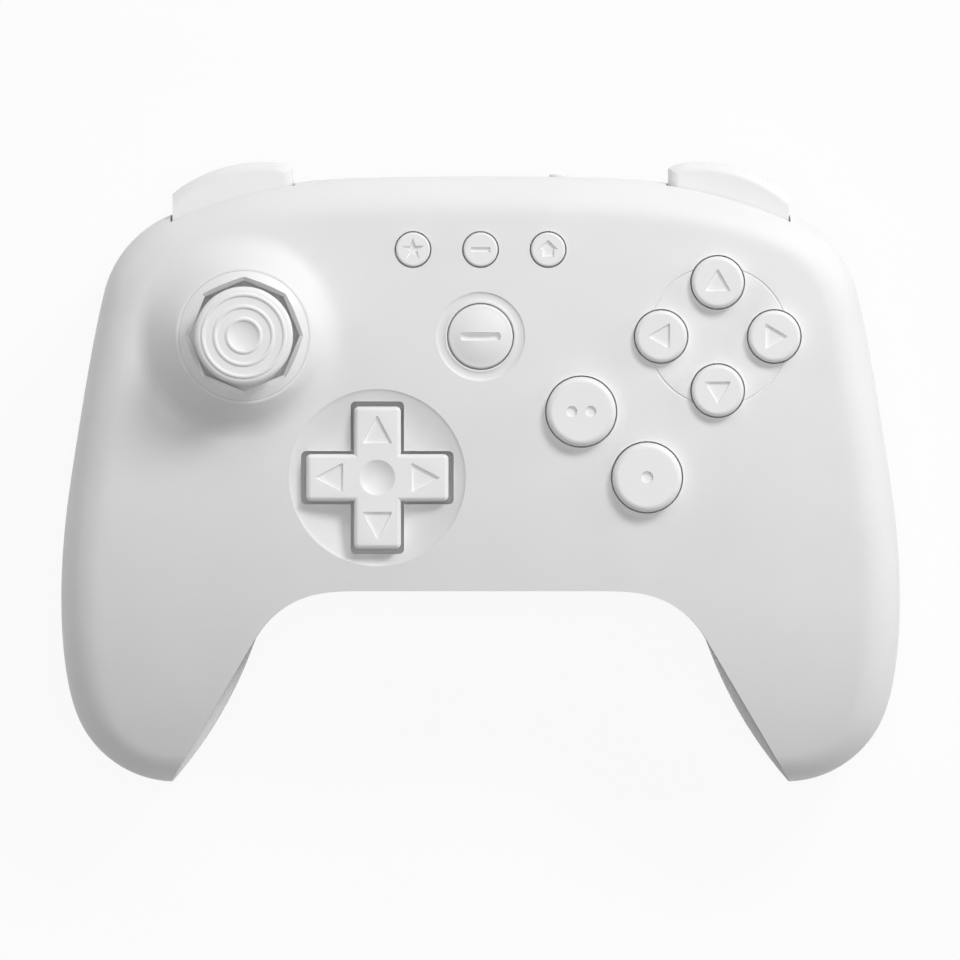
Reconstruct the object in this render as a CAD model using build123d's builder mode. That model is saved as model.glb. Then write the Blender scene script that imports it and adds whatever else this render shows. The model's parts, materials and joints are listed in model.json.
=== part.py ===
from build123d import *
import math
import os

os.makedirs("parts", exist_ok=True)

# Gamepad controller in millimetres. X runs to the right grip, Y towards the bumpers, Z out of the face.
# The pad lies on the backs of its grips at Z = 0, and its middle is over the origin.

# Housing: driving dimensions
half_width = 75.0
half_depth = 55.36
face_height = 39.0
face_fall = 13.5
crown_radius = 520.0
rear_rise = 12.0
wall = 2.0
face_round = 8.0
rear_round = 8.0
overrun = 5.0
fit_gap = 0.1
seat_gap = 0.02
skin_gap = 0.3
block_height = 60.0

# Half outline seen on the face, as shares of half_width and half_depth, from the top middle round to the tip
top_shares = [(0.0, 0.9547), (0.32, 0.9474), (0.7333, 0.8327), (0.8973, 0.578)]
side_shares = [(0.8973, 0.578), (0.972, 0.0054), (0.9993, -0.4697), (0.964, -0.7785)]
tip_shares = (0.728, -1.0)
# Height of the face along the middle, as shares of half_depth and of face_fall below face_height
crown_shares = [(1.12, 0.141), (0.7225, 0.03), (0.325, 0.0), (-0.379, 0.193), (-0.7225, 0.489), (-1.12, 1.222)]
# Height of the back: share of half_depth, then middle, grip and edge as shares of rear_rise
rear_shares = [
    (1.084, 1.0, 0.875, 1.125),
    (0.4516, 0.5, 0.15, 0.5),
    (-0.09, 0.5, 0.04, 0.375),
    (-0.578, 0.542, 0.04, 0.333),
    (-1.12, 0.917, 0.79, 1.0),
]
rear_edge_share = 1.093
rear_grip_share = 0.76
rear_waist_share = 0.4
rear_waist_drop = 0.8
# The arch between the grips: flat half, corner, knee and tip as shares of half_width and half_depth
arch_flat_shares = (0.2867, -0.3838)
arch_corner_shares = (0.4293, -0.41)
arch_knee_shares = (0.5363, -0.5364)
arch_tip_shares = (0.7429, -1.0114)
arch_end_share = 1.3
arch_swell = 1.5
arch_lip = 0.4
arch_swell_height = 13.0
# Parting line between the shells, as shares of half_depth and face_height
parting_shares = [(1.1, 0.628), (0.36, 0.628), (-0.36, 0.55), (-1.1, 0.32)]
lip_height = 1.2
lip_root = 1.5
seam_gap = 0.2

# Stick and its well
stick_x = -42.16
stick_y = 24.29
well_height = 5.2
well_top_radius = 12.1
well_base_radius = 16.4
well_flare = 5.5
well_edge = 0.8
gate_radius = 11.6
gate_height = 3.0
gate_slope = 0.7
gate_opening = 9.9
gate_bevel = 0.9
gate_ledge = 1.0
cap_radius = 8.75
cap_thickness = 4.2
cap_lift = 3.5
cap_edge = 1.2
cap_ridge_shares = [0.835, 0.589, 0.337]
cap_ridge = 0.4
cap_ridge_height = 0.3
cap_dimple_depth = 0.45
neck_radius = 2.9
dome_gap = 0.4
dome_thickness = 1.2
dome_angle = 52.0
stick_tilt = 13.0
shaft_radius = 1.5
shaft_reach = 16.5
module_half = 8.5
module_wall = 1.6
module_rise = 10.4
pivot_rise = 5.4
trunnion_radius = 1.5
running_gap = 0.05
cradle_half_x = 3.6
cradle_half_y = 3.2
cradle_half_z = 2.2
arch_inner = 4.7
arch_outer = 6.1
arch_half = 2.2
arch_slot_gap = 0.2
arch_slot_half = 3.4
cradle_floor = 0.8
cross_pin_radius = 0.8

# Direction pad
pad_x = -18.41
pad_y = -0.98
pad_span = 25.4
pad_arm = 8.4
pad_well_span = 27.2
pad_well_arm = 9.5
pad_corner = 0.9
pad_proud = 1.0
pad_dish_radius = 15.8
pad_dish_depth = 1.6
pad_dimple_radius = 3.2
pad_dimple_depth = 0.8
pad_edge = 0.9
pad_flange_over = 1.0
pad_flange = 1.0
pad_flange_gap = 1.5
ball_radius = 2.0
ball_rise = 2.6
post_radius = 3.2

# Round buttons: cap radius, height above the face and rim rounding of each kind, and the start button's crown
big_radius = 6.2
big_proud = 2.3
big_rim = 1.1
arrow_radius = 4.65
arrow_proud = 1.9
arrow_rim = 0.8
start_radius = 5.75
start_proud = 1.2
start_rim = 0.5
start_crown = 0.9
menu_radius = 3.05
menu_proud = 0.5
menu_rim = 0.5
button_gap = 0.25
button_flange = 1.0
button_flange_over = 1.2
button_wall = 1.2
button_roof = 1.8
plunger_radius = 1.5
first_x = 29.7
first_y = -0.93
second_x = 17.96
second_y = 10.8
cluster_x = 42.3
cluster_y = 24.2
cluster_step_x = 10.1
cluster_step_y = 9.65
cluster_dish_radius = 12.45
cluster_dish_depth = 0.55
start_y = 24.2
start_dish_radius = 8.0
start_dish_depth = 0.45
menu_y = 39.7
menu_step = 12.05

# Boards and rubber
board_top = 28.6
board_thickness = 1.2
main_top = 17.6
main_thickness = 1.6
rubber_sheet = 0.8
rubber_dome_share = 0.62
rubber_wall = 0.7
rubber_margin = 1.4
plunger_bottom = 31.6
board_clearance = 1.4
board_post_radius = 2.2
board_screw_radius = 0.8
board_screw_head = 1.7
board_screw_head_height = 1.0
board_screw_length = 5.0
# Outlines of the boards, as shares of half_width and half_depth
button_board_shares = [
    (-0.48, -0.29),
    (0.32, -0.29),
    (0.76, -0.07),
    (0.76, 0.6),
    (0.62, 0.71),
    (0.44, 0.773),
    (-0.32, 0.773),
    (-0.32, 0.36),
    (-0.48, 0.145),
]
main_board_shares = [
    (-0.693, -0.217),
    (0.693, -0.217),
    (0.693, 0.65),
    (0.34, 0.65),
    (0.34, 0.87),
    (-0.34, 0.87),
    (-0.34, 0.65),
    (-0.693, 0.65),
]

# Bumpers
bumper_top = 31.8
bumper_bottom = 21.8
bumper_gap = 0.35
bumper_crest_y = 55.36
bumper_crest_x = 37.6
bumper_outer_x = 55.0
bumper_outer_y = 49.7
bumper_inner_x = 33.5
bumper_inner_y = 54.2
bumper_mid_x = 46.6
bumper_mid_y = 54.2
bumper_depth = 9.5
bumper_round = 2.0
bumper_pin_x = 30.4
bumper_pin_y = 46.2
bumper_pin_radius = 1.0
bumper_eye_radius = 2.4
bumper_arm_low = 24.6
bumper_arm_high = 30.0
bumper_swing = 1.6
bumper_pin_top = 33.0

# Triggers
trigger_top = 21.3
trigger_tip = 3.4
trigger_inner_x = 35.2
trigger_outer_x = 53.8
trigger_hinge_y = 40.9
trigger_hinge_z = 17.4
trigger_eye_radius = 2.7
trigger_pin_radius = 1.2
trigger_setback = 0.9
trigger_plate = 1.7
trigger_round = 1.2
trigger_thickness = 6.0
trigger_hollow = 2.0

# Shell screws
screw_places = [(-59.0, -40.0), (59.0, -40.0), (-62.0, 12.0), (62.0, 12.0), (0.0, -15.6)]
screw_meet = 18.0
screw_seat = 2.5
screw_boss_radius = 3.5
screw_post_radius = 2.9
screw_head_radius = 2.4
screw_head_height = 1.8
screw_shank_radius = 1.1
screw_length = 9.0
screw_hole_gap = 0.25

# Rumble motors
motor_x = 58.0
motor_y = -13.0
motor_length = 14.0
motor_radius = 8.0
motor_z = 12.4
motor_shaft_radius = 1.0
weight_radius = 8.2
weight_thickness = 5.0
weight_gap = 0.6
cradle_rib = 1.6

# Top edge and back
port_width = 8.94
port_height = 3.26
port_length = 7.3
port_shell = 0.3
port_opening_over = 0.6
pair_x = 14.0
pair_radius = 1.7
pair_proud = 0.4
pair_travel = 0.7
pair_switch = 3.0
pair_plate = 0.8
pair_stem = 1.5
switch_y = 33.0
switch_knob_x = 4.0
switch_knob_y = 2.4
switch_travel = 1.5
switch_proud = 0.6
switch_plate = 0.8
battery_x = 50.0
battery_y = 30.0
battery_z = 6.0
battery_place_y = 3.6
battery_floor = 9.0


def outline_point(shares):
    return (shares[0] * half_width, shares[1] * half_depth)


def export(part, name):
    part.label = name
    export_step(part, f"parts/{name}.step")


def crown_block(inset):
    """Everything under the front face, moved in by inset."""
    top = face_height - inset
    axis = Axis((0, 0, top - crown_radius), (0, 1, 0))
    with BuildPart() as block:
        with BuildSketch(Plane.YZ):
            with BuildLine():
                points = [(y * half_depth, top - drop * face_fall) for y, drop in crown_shares]
                curve = Spline(*points)
                Polyline(curve @ 1, (points[-1][0], -block_height), (points[0][0], -block_height), curve @ 0)
            make_face()
        revolve(axis=axis, revolution_arc=math.degrees(2.6 * half_width / crown_radius))
    return block.part.rotate(axis, -math.degrees(1.3 * half_width / crown_radius))


def rear_block(inset):
    """Everything above the back, moved in by inset."""
    with BuildPart() as block:
        for y_share, middle, grip, edge in rear_shares:
            with BuildSketch(Plane.XZ.offset(-y_share * half_depth)):
                with BuildLine():
                    half = [
                        (rear_waist_share * half_width, middle * rear_rise - rear_waist_drop + inset),
                        (rear_grip_share * half_width, grip * rear_rise + inset),
                        (rear_edge_share * half_width, edge * rear_rise + inset),
                    ]
                    left = [(-x, z) for x, z in reversed(half)]
                    curve = Spline(*left, (0, middle * rear_rise + inset), *half)
                    Polyline(
                        curve @ 1,
                        (half[-1][0], block_height),
                        (-half[-1][0], block_height),
                        curve @ 0,
                    )
                make_face()
        loft()
    return block.part


def arch_block(inset, flared):
    """The space between the grips, grown by inset; below the parting line it narrows again."""
    flat = outline_point(arch_flat_shares)
    corner = outline_point(arch_corner_shares)
    knee = outline_point(arch_knee_shares)
    tip = outline_point(arch_tip_shares)
    length = math.hypot(tip[0] - knee[0], tip[1] - knee[1])
    along = ((tip[0] - knee[0]) / length, (tip[1] - knee[1]) / length)
    out = (-along[1], along[0])
    turn = (math.sin(math.radians(30)), math.cos(math.radians(30)))
    end = arch_end_share * half_depth
    reach = (tip[0] + along[0] * (end + tip[1]) / -along[1], -end)
    sections = [(-overrun, arch_lip), (arch_swell_height, arch_swell), (0.7 * face_height, arch_lip)]
    if not flared:
        sections = [(-overrun, 0), (block_height, 0)]
    with BuildPart() as block:
        for level, swell in sections:
            with BuildSketch(Plane.XY.offset(level)):
                with BuildLine():
                    for side in (1, -1):
                        a = (side * flat[0], flat[1] + inset)
                        b = (side * (corner[0] + turn[0] * inset), corner[1] + turn[1] * inset)
                        c = (side * (knee[0] + out[0] * inset), knee[1] + out[1] * inset)
                        d = (side * (tip[0] + out[0] * inset), tip[1] + out[1] * inset)
                        e = (side * (reach[0] + out[0] * inset), reach[1] + out[1] * inset)
                        middle = (
                            (c[0] + d[0]) / 2 - side * out[0] * swell,
                            (c[1] + d[1]) / 2 - out[1] * swell,
                        )
                        Line((0, a[1]), a)
                        Spline(a, b, c, tangents=[(side, 0), (side * along[0], along[1])])
                        if swell:
                            ThreePointArc(c, middle, d)
                        else:
                            Line(c, d)
                        Line(d, e)
                        Line(e, (0, e[1]))
                make_face()
        loft()
    return block.part


def moved_in(point, tangent, inset):
    """A point of the outline moved towards the inside, square to the way round."""
    way = Vector(tangent).normalized()
    return Vector(*point) + Vector(way.Y, -way.X) * inset


def outline_half(inset):
    """Draws the right half of the outline, from the top middle round to the bottom middle."""
    top = [outline_point(share) for share in top_shares]
    side = [outline_point(share) for share in side_shares]
    tip = outline_point(tip_shares)
    tangent = Vector(1, 0)
    last = moved_in(top[0], tangent, inset)
    for start, end in zip(top, top[1:]):
        outer = TangentArc(start, end, tangent=tangent, mode=Mode.PRIVATE)
        arc_end = moved_in(end, outer % 1, inset)
        TangentArc(last, arc_end, tangent=tangent)
        tangent = outer % 1
        last = arc_end
    tip_arc = TangentArc(tip, side[-1], tangent=(1, 0), mode=Mode.PRIVATE)
    turned = -(tip_arc % 1)
    flank = Spline(*side, tangents=[tangent, turned], mode=Mode.PRIVATE)
    middle = [moved_in(flank @ at, flank % at, inset) for at in (1 / 3, 2 / 3)]
    side_end = moved_in(side[-1], turned, inset)
    Spline(last, *middle, side_end, tangents=[tangent, turned])
    tip_start = Vector(tip[0], tip[1] + inset)
    TangentArc(tip_start, side_end, tangent=(1, 0))
    Line(Vector(0, tip_start.Y), tip_start)


def housing_form(inset, flared):
    """The whole closed form of the housing, moved in by inset."""
    with BuildPart() as form:
        with BuildSketch(Plane.XY.offset(-overrun)):
            with BuildLine():
                outline_half(inset)
                mirror(about=Plane.YZ)
            make_face()
        extrude(amount=block_height)
        add(crown_block(inset), mode=Mode.INTERSECT)
        add(rear_block(inset), mode=Mode.INTERSECT)
        fillet(form.faces().sort_by(Axis.Z)[-1].edges(), face_round - inset)
        fillet(form.faces().sort_by(Axis.Z)[0].edges(), rear_round - inset)
        add(arch_block(inset, flared), mode=Mode.SUBTRACT)
    return form.part


def above_parting(raised):
    """Everything above the parting line, raised by the given height."""
    with BuildPart() as block:
        with BuildSketch(Plane.YZ):
            with BuildLine():
                points = [(y * half_depth, z * face_height + raised) for y, z in parting_shares]
                curve = Spline(*points)
                Polyline(curve @ 1, (points[-1][0], block_height), (points[0][0], block_height), curve @ 0)
            make_face()
        extrude(amount=1.2 * half_width, both=True)
    return block.part


face_surface = crown_block(0).faces().sort_by(Axis.Z)[-1]


def face_plane(x, y):
    """The plane that touches the face at x, y, with its normal outwards."""
    hits = face_surface.find_intersection_points(Axis((x, y, block_height), (0, 0, -1)))
    point, normal = max(hits, key=lambda hit: hit[0].Z)
    return Plane(origin=point, x_dir=(1, 0, -normal.X / normal.Z), z_dir=normal)


def face_z(x, y):
    return face_plane(x, y).origin.Z


# Levels worked out from the sizes above
pivot_z = main_top + pivot_rise
stick_face = face_z(stick_x, stick_y)
gate_top = stick_face + well_height
well_top = gate_top - gate_slope
gate_bottom = gate_top - gate_height
dome_radius = gate_bottom - dome_gap - pivot_z
cap_bottom = gate_top + cap_lift
cap_top = cap_bottom + cap_thickness
pad_face = face_z(pad_x, pad_y)
pad_roof = pad_face - pad_dish_depth - wall
ball_z = board_top + ball_rise
rubber_top = board_top + rubber_sheet


def dish(x, y, radius, depth):
    """A shallow round hollow in the face."""
    ball = (radius**2 + depth**2) / (2 * depth)
    with BuildPart(face_plane(x, y)) as block:
        with Locations((0, 0, ball - depth)):
            Sphere(ball)
        Cylinder(radius + wall, 2 * (depth + skin_gap), mode=Mode.INTERSECT)
    return block.part


def cross(span, arm):
    """Cross with rounded arms, drawn in the open sketch."""
    with Locations((pad_x, pad_y)):
        RectangleRounded(span, arm, pad_corner)
        RectangleRounded(arm, span, pad_corner)


# Places of the round buttons: name, x, y, cap radius, height above the face, rim, crown
button_places = [
    ("first_button", first_x, first_y, big_radius, big_proud, big_rim, 0),
    ("second_button", second_x, second_y, big_radius, big_proud, big_rim, 0),
    ("up_button", cluster_x, cluster_y + cluster_step_y, arrow_radius, arrow_proud, arrow_rim, 0),
    ("down_button", cluster_x, cluster_y - cluster_step_y, arrow_radius, arrow_proud, arrow_rim, 0),
    ("left_button", cluster_x - cluster_step_x, cluster_y, arrow_radius, arrow_proud, arrow_rim, 0),
    ("right_button", cluster_x + cluster_step_x, cluster_y, arrow_radius, arrow_proud, arrow_rim, 0),
    ("start_button", 0, start_y, start_radius, start_proud, start_rim, start_crown),
    ("star_button", -menu_step, menu_y, menu_radius, menu_proud, menu_rim, 0),
    ("minus_button", 0, menu_y, menu_radius, menu_proud, menu_rim, 0),
    ("home_button", menu_step, menu_y, menu_radius, menu_proud, menu_rim, 0),
]
board_post_places = [(-32.0, -12.0), (4.0, -12.5), (-17.0, 29.0), (17.0, 30.0), (52.0, 7.0)]
main_post_places = [(-47.0, -8.0), (47.0, -8.0), (-29.0, 33.0), (47.0, 33.0)]


def rear_middle_height(y):
    """Height of the back under the middle line."""
    rows = sorted((row[0] * half_depth, row[1] * rear_rise) for row in rear_shares)
    for (y0, z0), (y1, z1) in zip(rows, rows[1:]):
        if y0 <= y <= y1:
            return z0 + (z1 - z0) * (y - y0) / (y1 - y0)


def roof_z(x, y, radius):
    """Lowest point of the shell's inner skin over a round button's flange."""
    low = min(
        face_z(x + radius * math.cos(math.radians(a)), y + radius * math.sin(math.radians(a)))
        for a in range(0, 360, 45)
    )
    return low - wall


def bumper_outline(grow):
    """Closed outline of the left bumper seen on the face, grown by the given gap."""
    inner = (-bumper_inner_x + grow, bumper_inner_y + grow)
    crest = (-bumper_crest_x, bumper_crest_y + grow)
    middle = (-bumper_mid_x, bumper_mid_y + grow)
    outer = (-bumper_outer_x - grow, bumper_outer_y + grow)
    Line((inner[0], inner[1] - bumper_depth), inner)
    ThreePointArc(inner, ((inner[0] + crest[0]) / 2, inner[1] + 0.78 * (crest[1] - inner[1])), crest)
    ThreePointArc(crest, middle, outer)
    Line(outer, (outer[0], outer[1] - bumper_depth))
    Line((outer[0], outer[1] - bumper_depth), (inner[0], inner[1] - bumper_depth))


def bumper_block(grow, low, high, behind):
    """The left bumper's body, or the room it needs in the shells."""
    with BuildPart() as block:
        with BuildSketch(Plane.XY.offset(low)):
            with BuildLine():
                bumper_outline(grow)
            make_face()
            if behind:
                with Locations((-(bumper_inner_x + bumper_outer_x) / 2, bumper_outer_y - bumper_depth)):
                    Rectangle(bumper_outer_x - bumper_inner_x + 2 * grow, 2 * behind)
        extrude(amount=high - low)
    return block.part


# Shells
outer_front = housing_form(0, False)
outer_rear = housing_form(0, True)
inner_front = housing_form(wall, False)
inner_rear = housing_form(wall, True)
middle_front = housing_form(wall / 2, False)
middle_rear = housing_form(wall / 2, True)
lip_form = housing_form(wall / 2 + fit_gap, False)
upper = above_parting(0)

with BuildPart() as bumper_room:
    add(bumper_block(bumper_gap, bumper_bottom - bumper_gap, bumper_top + bumper_gap, bumper_swing))
    mirror(about=Plane.YZ)


# Bare walls of the two shells
with BuildPart() as front_wall:
    add(outer_front)
    add(above_parting(seam_gap), mode=Mode.INTERSECT)
    add(inner_front, mode=Mode.SUBTRACT)

with BuildPart() as rear_wall:
    add(outer_rear)
    add(upper, mode=Mode.SUBTRACT)
    add(inner_rear, mode=Mode.SUBTRACT)


def along_parting(form, low, high):
    """What lies inside a form between two heights over the parting line."""
    with BuildPart() as band:
        add(form)
        add(above_parting(low), mode=Mode.INTERSECT)
        add(above_parting(high), mode=Mode.SUBTRACT)
    return band.part


# The lip of the rear shell, and the rebate in the front shell that takes it
rebate = along_parting(middle_front, -lip_root, lip_height + skin_gap)
with BuildPart() as lip:
    add(along_parting(lip_form, -lip_root, lip_height))
    add(inner_front, mode=Mode.SUBTRACT)

# What stands on the inside of the front shell, before it is trimmed to the wall
with BuildPart() as front_inside:
    with BuildSketch(Plane.XY.offset(pad_roof)):
        with Locations((pad_x, pad_y)):
            Circle(pad_dish_radius + wall)
    extrude(amount=block_height)
    with BuildSketch(Plane.XY.offset(board_top)):
        with Locations(*board_post_places):
            Circle(board_post_radius)
    extrude(amount=block_height)
    with BuildSketch(Plane.XY.offset(screw_meet)):
        with Locations(*screw_places):
            Circle(screw_post_radius)
    extrude(amount=block_height)
    with BuildSketch(Plane.XY.offset(bumper_arm_high + skin_gap)):
        with Locations((-bumper_pin_x, bumper_pin_y), (bumper_pin_x, bumper_pin_y)):
            Circle(bumper_eye_radius)
    extrude(amount=block_height)
    add(middle_front, mode=Mode.INTERSECT)

with BuildPart() as front_shell:
    add(front_wall.part)
    with BuildSketch(Plane.XZ.offset(-stick_y)):
        with BuildLine():
            spread = (well_base_radius - well_top_radius) / (well_top - stick_face)
            Polyline(
                (stick_x, stick_face - 1.5 * wall),
                (stick_x + well_base_radius + spread * 1.5 * wall, stick_face - 1.5 * wall),
                (stick_x + well_top_radius, well_top),
                (stick_x, well_top),
                close=True,
            )
        make_face()
    revolve(axis=Axis((stick_x, stick_y, 0), (0, 0, 1)))
    well_axis = Vector(stick_x, stick_y, 0)
    foot = [
        edge
        for edge in front_shell.edges()
        if all(
            well_top_radius < (Vector(point.X, point.Y, 0) - well_axis).length < well_base_radius + wall
            and stick_face - 1.2 * wall < point.Z < gate_top - wall
            for point in (edge @ 0, edge @ 0.5)
        )
    ]
    fillet(foot, well_flare)
    fillet(front_shell.faces().sort_by(Axis.Z)[-1].edges(), well_edge)
    add(rebate, mode=Mode.SUBTRACT)
    add(front_inside.part)
    with BuildSketch(Plane.XY.offset(gate_bottom)):
        with Locations((stick_x, stick_y)):
            Circle(gate_radius + running_gap)
    extrude(amount=block_height, mode=Mode.SUBTRACT)
    with BuildSketch(Plane.XY.offset(pivot_z)):
        with Locations((stick_x, stick_y)):
            Circle(gate_radius - gate_ledge)
    extrude(amount=block_height, mode=Mode.SUBTRACT)
    with Locations((stick_x, stick_y, pivot_z)):
        Sphere(dome_radius + dome_gap, mode=Mode.SUBTRACT)
    add(dish(pad_x, pad_y, pad_dish_radius, pad_dish_depth), mode=Mode.SUBTRACT)
    add(dish(cluster_x, cluster_y, cluster_dish_radius, cluster_dish_depth), mode=Mode.SUBTRACT)
    add(dish(0, start_y, start_dish_radius, start_dish_depth), mode=Mode.SUBTRACT)
    with BuildSketch(Plane.XY.offset(ball_z)):
        cross(pad_well_span, pad_well_arm)
    extrude(amount=block_height, mode=Mode.SUBTRACT)
    for name, x, y, radius, proud, rim, crown in button_places:
        with BuildSketch(Plane.XY.offset(board_top)):
            with Locations((x, y)):
                Circle(radius + button_gap)
        extrude(amount=block_height, mode=Mode.SUBTRACT)
    add(bumper_room.part, mode=Mode.SUBTRACT)
    with BuildSketch(Plane.XY.offset(bumper_arm_low)):
        with Locations((-bumper_pin_x, bumper_pin_y), (bumper_pin_x, bumper_pin_y)):
            Circle(bumper_pin_radius + seat_gap)
    extrude(amount=bumper_pin_top + seat_gap - bumper_arm_low, mode=Mode.SUBTRACT)
    with Locations(*[(x, y, board_top) for x, y in board_post_places]):
        Cylinder(board_screw_radius, 2 * board_screw_length, mode=Mode.SUBTRACT)
    with Locations(*[(x, y, screw_meet) for x, y in screw_places]):
        Cylinder(screw_shank_radius, 2 * screw_length, mode=Mode.SUBTRACT)
export(front_shell.part, "front_shell")


def both_sides(x, y, z):
    return [(-x, y, z), (x, y, z)]


main_bottom = main_top - main_thickness
port_z = main_top + port_height / 2
trigger_room_y = trigger_hinge_y - trigger_eye_radius - skin_gap

with BuildPart() as trigger_room:
    with BuildSketch(Plane.YZ.offset(trigger_inner_x - skin_gap)):
        with Locations((trigger_room_y + half_depth / 2, (bumper_bottom - overrun) / 2)):
            Rectangle(half_depth, bumper_bottom + overrun)
    extrude(amount=trigger_outer_x - trigger_inner_x + 2 * skin_gap)
    mirror(about=Plane.YZ)

# What stands on the inside of the rear shell, before it is trimmed to the wall
with BuildPart() as rear_inside:
    with BuildSketch():
        with Locations(*screw_places):
            Circle(screw_boss_radius)
    extrude(amount=screw_meet)
    with BuildSketch():
        with Locations(*main_post_places):
            Circle(board_post_radius)
    extrude(amount=main_bottom)
    with BuildSketch():
        with Locations((-bumper_pin_x, bumper_pin_y), (bumper_pin_x, bumper_pin_y)):
            Circle(bumper_eye_radius)
    extrude(amount=bumper_arm_low - skin_gap)
    with BuildSketch():
        with Locations((-battery_x / 3, battery_place_y), (battery_x / 3, battery_place_y)):
            Rectangle(cradle_rib, battery_y)
    extrude(amount=battery_floor)
    with BuildSketch():
        for share in (0.15, 0.85):
            with Locations((-motor_x, motor_y - share * motor_length), (motor_x, motor_y - share * motor_length)):
                Rectangle(2 * motor_radius + 2 * cradle_rib, cradle_rib)
    extrude(amount=motor_z)
    for x in (-motor_x, motor_x):
        with BuildSketch(Plane.XZ.offset(-motor_y - overrun)):
            with Locations((x, motor_z)):
                Circle(motor_radius + fit_gap)
        extrude(amount=motor_length + 2 * overrun, mode=Mode.SUBTRACT)
    for x in (trigger_inner_x - skin_gap - trigger_plate / 2, trigger_outer_x + skin_gap + trigger_plate / 2):
        with BuildSketch():
            with Locations((-x, trigger_hinge_y), (x, trigger_hinge_y)):
                Rectangle(trigger_plate, 2 * trigger_eye_radius)
        extrude(amount=trigger_hinge_z + trigger_eye_radius)
    add(middle_rear, mode=Mode.INTERSECT)

with BuildPart() as rear_shell:
    add(rear_wall.part)
    add(lip.part)
    add(rear_inside.part)
    add(bumper_room.part, mode=Mode.SUBTRACT)
    add(trigger_room.part, mode=Mode.SUBTRACT)
    with Locations((0, 0, -block_height / 2)):
        Box(3 * half_width, 3 * half_depth, block_height, mode=Mode.SUBTRACT)
    with BuildSketch(Plane.XY.offset(-overrun)):
        with Locations(*screw_places):
            Circle(screw_head_radius + screw_hole_gap)
    extrude(amount=overrun + screw_meet - screw_seat, mode=Mode.SUBTRACT)
    with BuildSketch(Plane.XY.offset(-overrun)):
        with Locations(*screw_places):
            Circle(screw_shank_radius + screw_hole_gap)
    extrude(amount=block_height / 2, mode=Mode.SUBTRACT)
    with BuildSketch(Plane.XY.offset(main_bottom - board_screw_length)):
        with Locations(*main_post_places):
            Circle(board_screw_radius)
    extrude(amount=2 * board_screw_length, mode=Mode.SUBTRACT)
    with BuildSketch(Plane.XY.offset(bumper_bottom)):
        with Locations((-bumper_pin_x, bumper_pin_y), (bumper_pin_x, bumper_pin_y)):
            Circle(bumper_pin_radius + seat_gap)
    extrude(amount=overrun, mode=Mode.SUBTRACT)
    pin_end = trigger_outer_x + skin_gap + trigger_plate
    with BuildSketch(Plane.YZ.offset(-pin_end)):
        with Locations((trigger_hinge_y, trigger_hinge_z)):
            Circle(trigger_pin_radius + seat_gap)
    extrude(amount=2 * pin_end, mode=Mode.SUBTRACT)
    with BuildSketch(Plane.XZ.offset(-half_depth)):
        with Locations((0, port_z)):
            RectangleRounded(
                port_width + 2 * port_opening_over,
                port_height + 2 * port_opening_over,
                port_height / 2,
            )
    extrude(amount=2 * overrun, mode=Mode.SUBTRACT)
    with BuildSketch(Plane.XZ.offset(-half_depth)):
        with Locations((pair_x, port_z)):
            Circle(pair_radius + button_gap)
    extrude(amount=2 * overrun, mode=Mode.SUBTRACT)
    with BuildSketch():
        with Locations((0, switch_y)):
            Rectangle(
                switch_knob_x + 2 * switch_travel + 2 * button_gap,
                switch_knob_y + 2 * button_gap,
            )
    extrude(amount=main_bottom, mode=Mode.SUBTRACT)
export(rear_shell.part, "rear_shell")

# Stick gate ring
with BuildPart() as stick_gate_ring:
    with BuildSketch(Plane.XZ.offset(-stick_y)):
        with BuildLine():
            Polyline(
                (stick_x, gate_bottom),
                (stick_x + gate_radius, gate_bottom),
                (stick_x + gate_radius, well_top),
                (stick_x + gate_opening, gate_top),
                (stick_x, gate_top),
                close=True,
            )
        make_face()
    revolve(axis=Axis((stick_x, stick_y, 0), (0, 0, 1)))
    with BuildSketch(Plane.XY.offset(gate_bottom)):
        with Locations((stick_x, stick_y)):
            RegularPolygon(gate_opening, 8)
    extrude(amount=gate_height, mode=Mode.SUBTRACT)
    with BuildSketch(Plane.XY.offset(gate_top - gate_bevel)):
        with Locations((stick_x, stick_y)):
            RegularPolygon(gate_opening, 8)
    with BuildSketch(Plane.XY.offset(gate_top)):
        with Locations((stick_x, stick_y)):
            RegularPolygon(gate_opening + gate_bevel, 8)
    loft(mode=Mode.SUBTRACT)
export(stick_gate_ring.part, "stick_gate_ring")

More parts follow.
